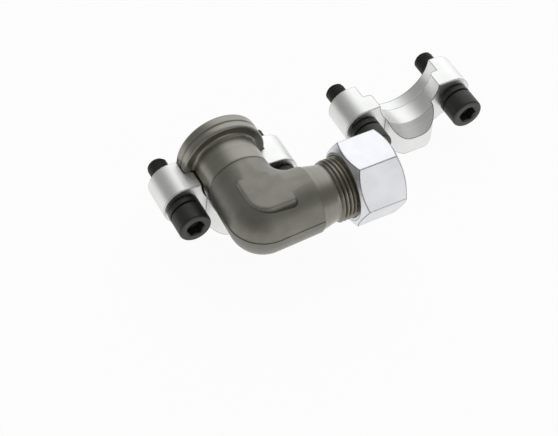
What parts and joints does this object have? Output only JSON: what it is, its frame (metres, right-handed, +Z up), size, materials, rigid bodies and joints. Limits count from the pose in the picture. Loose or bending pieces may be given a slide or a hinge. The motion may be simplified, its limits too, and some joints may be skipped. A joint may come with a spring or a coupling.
{
  "type": "hydraulic flange elbow",
  "caption": "Right-angle hydraulic flange elbow: turned flange head with face seal, split clamp halves with cap screws, and a union nut with cutting ring on the threaded tube end.",
  "frame": {"origin": "centre of the flange's sealing face", "axes": "+Y out of the flange, +X out of the tube end, +Z up"},
  "size_m": [0.1698, 0.0872, 0.0504],
  "materials": {
    "phosphated_steel": "dark grey phosphate, satin, forged skin with turned ends",
    "seal_rubber": "black nitrile rubber",
    "ring_steel": "plated steel",
    "nut_zinc": "bright zinc plate",
    "clamp_zinc": "bright zinc plate over a forged surface",
    "screw_black": "black oxide, lightly oiled",
    "washer_black": "black oxide"
  },
  "bodies": {
    "fitting": {"elbow_body": "phosphated_steel", "face_seal": "seal_rubber", "fitted_clamp_half": "clamp_zinc", "loose_clamp_half": "clamp_zinc", "fitted_screw_left": "screw_black", "fitted_screw_right": "screw_black", "loose_screw_left": "screw_black", "loose_screw_right": "screw_black", "fitted_washer_left": "washer_black", "fitted_washer_right": "washer_black", "loose_washer_left": "washer_black", "loose_washer_right": "washer_black"},
    "ring": {"cutting_ring": "ring_steel"},
    "nut": {"union_nut": "nut_zinc"}
  },
  "joints": [
    {"name": "ring_slide", "type": "slide", "parent": "fitting", "child": "ring", "axis": [1, 0, 0], "range_m": [0, 0.00901]},
    {"name": "nut_turn", "type": "hinge", "parent": "ring", "child": "nut", "pos_m": [0.05, -0.0474, 0], "axis": [1, 0, 0], "range_deg": [0, 1620]}
  ],
  "couplings": [
    {"joint": "ring_slide", "follows": "nut_turn", "m_per_rad": 0.00031831}
  ]
}
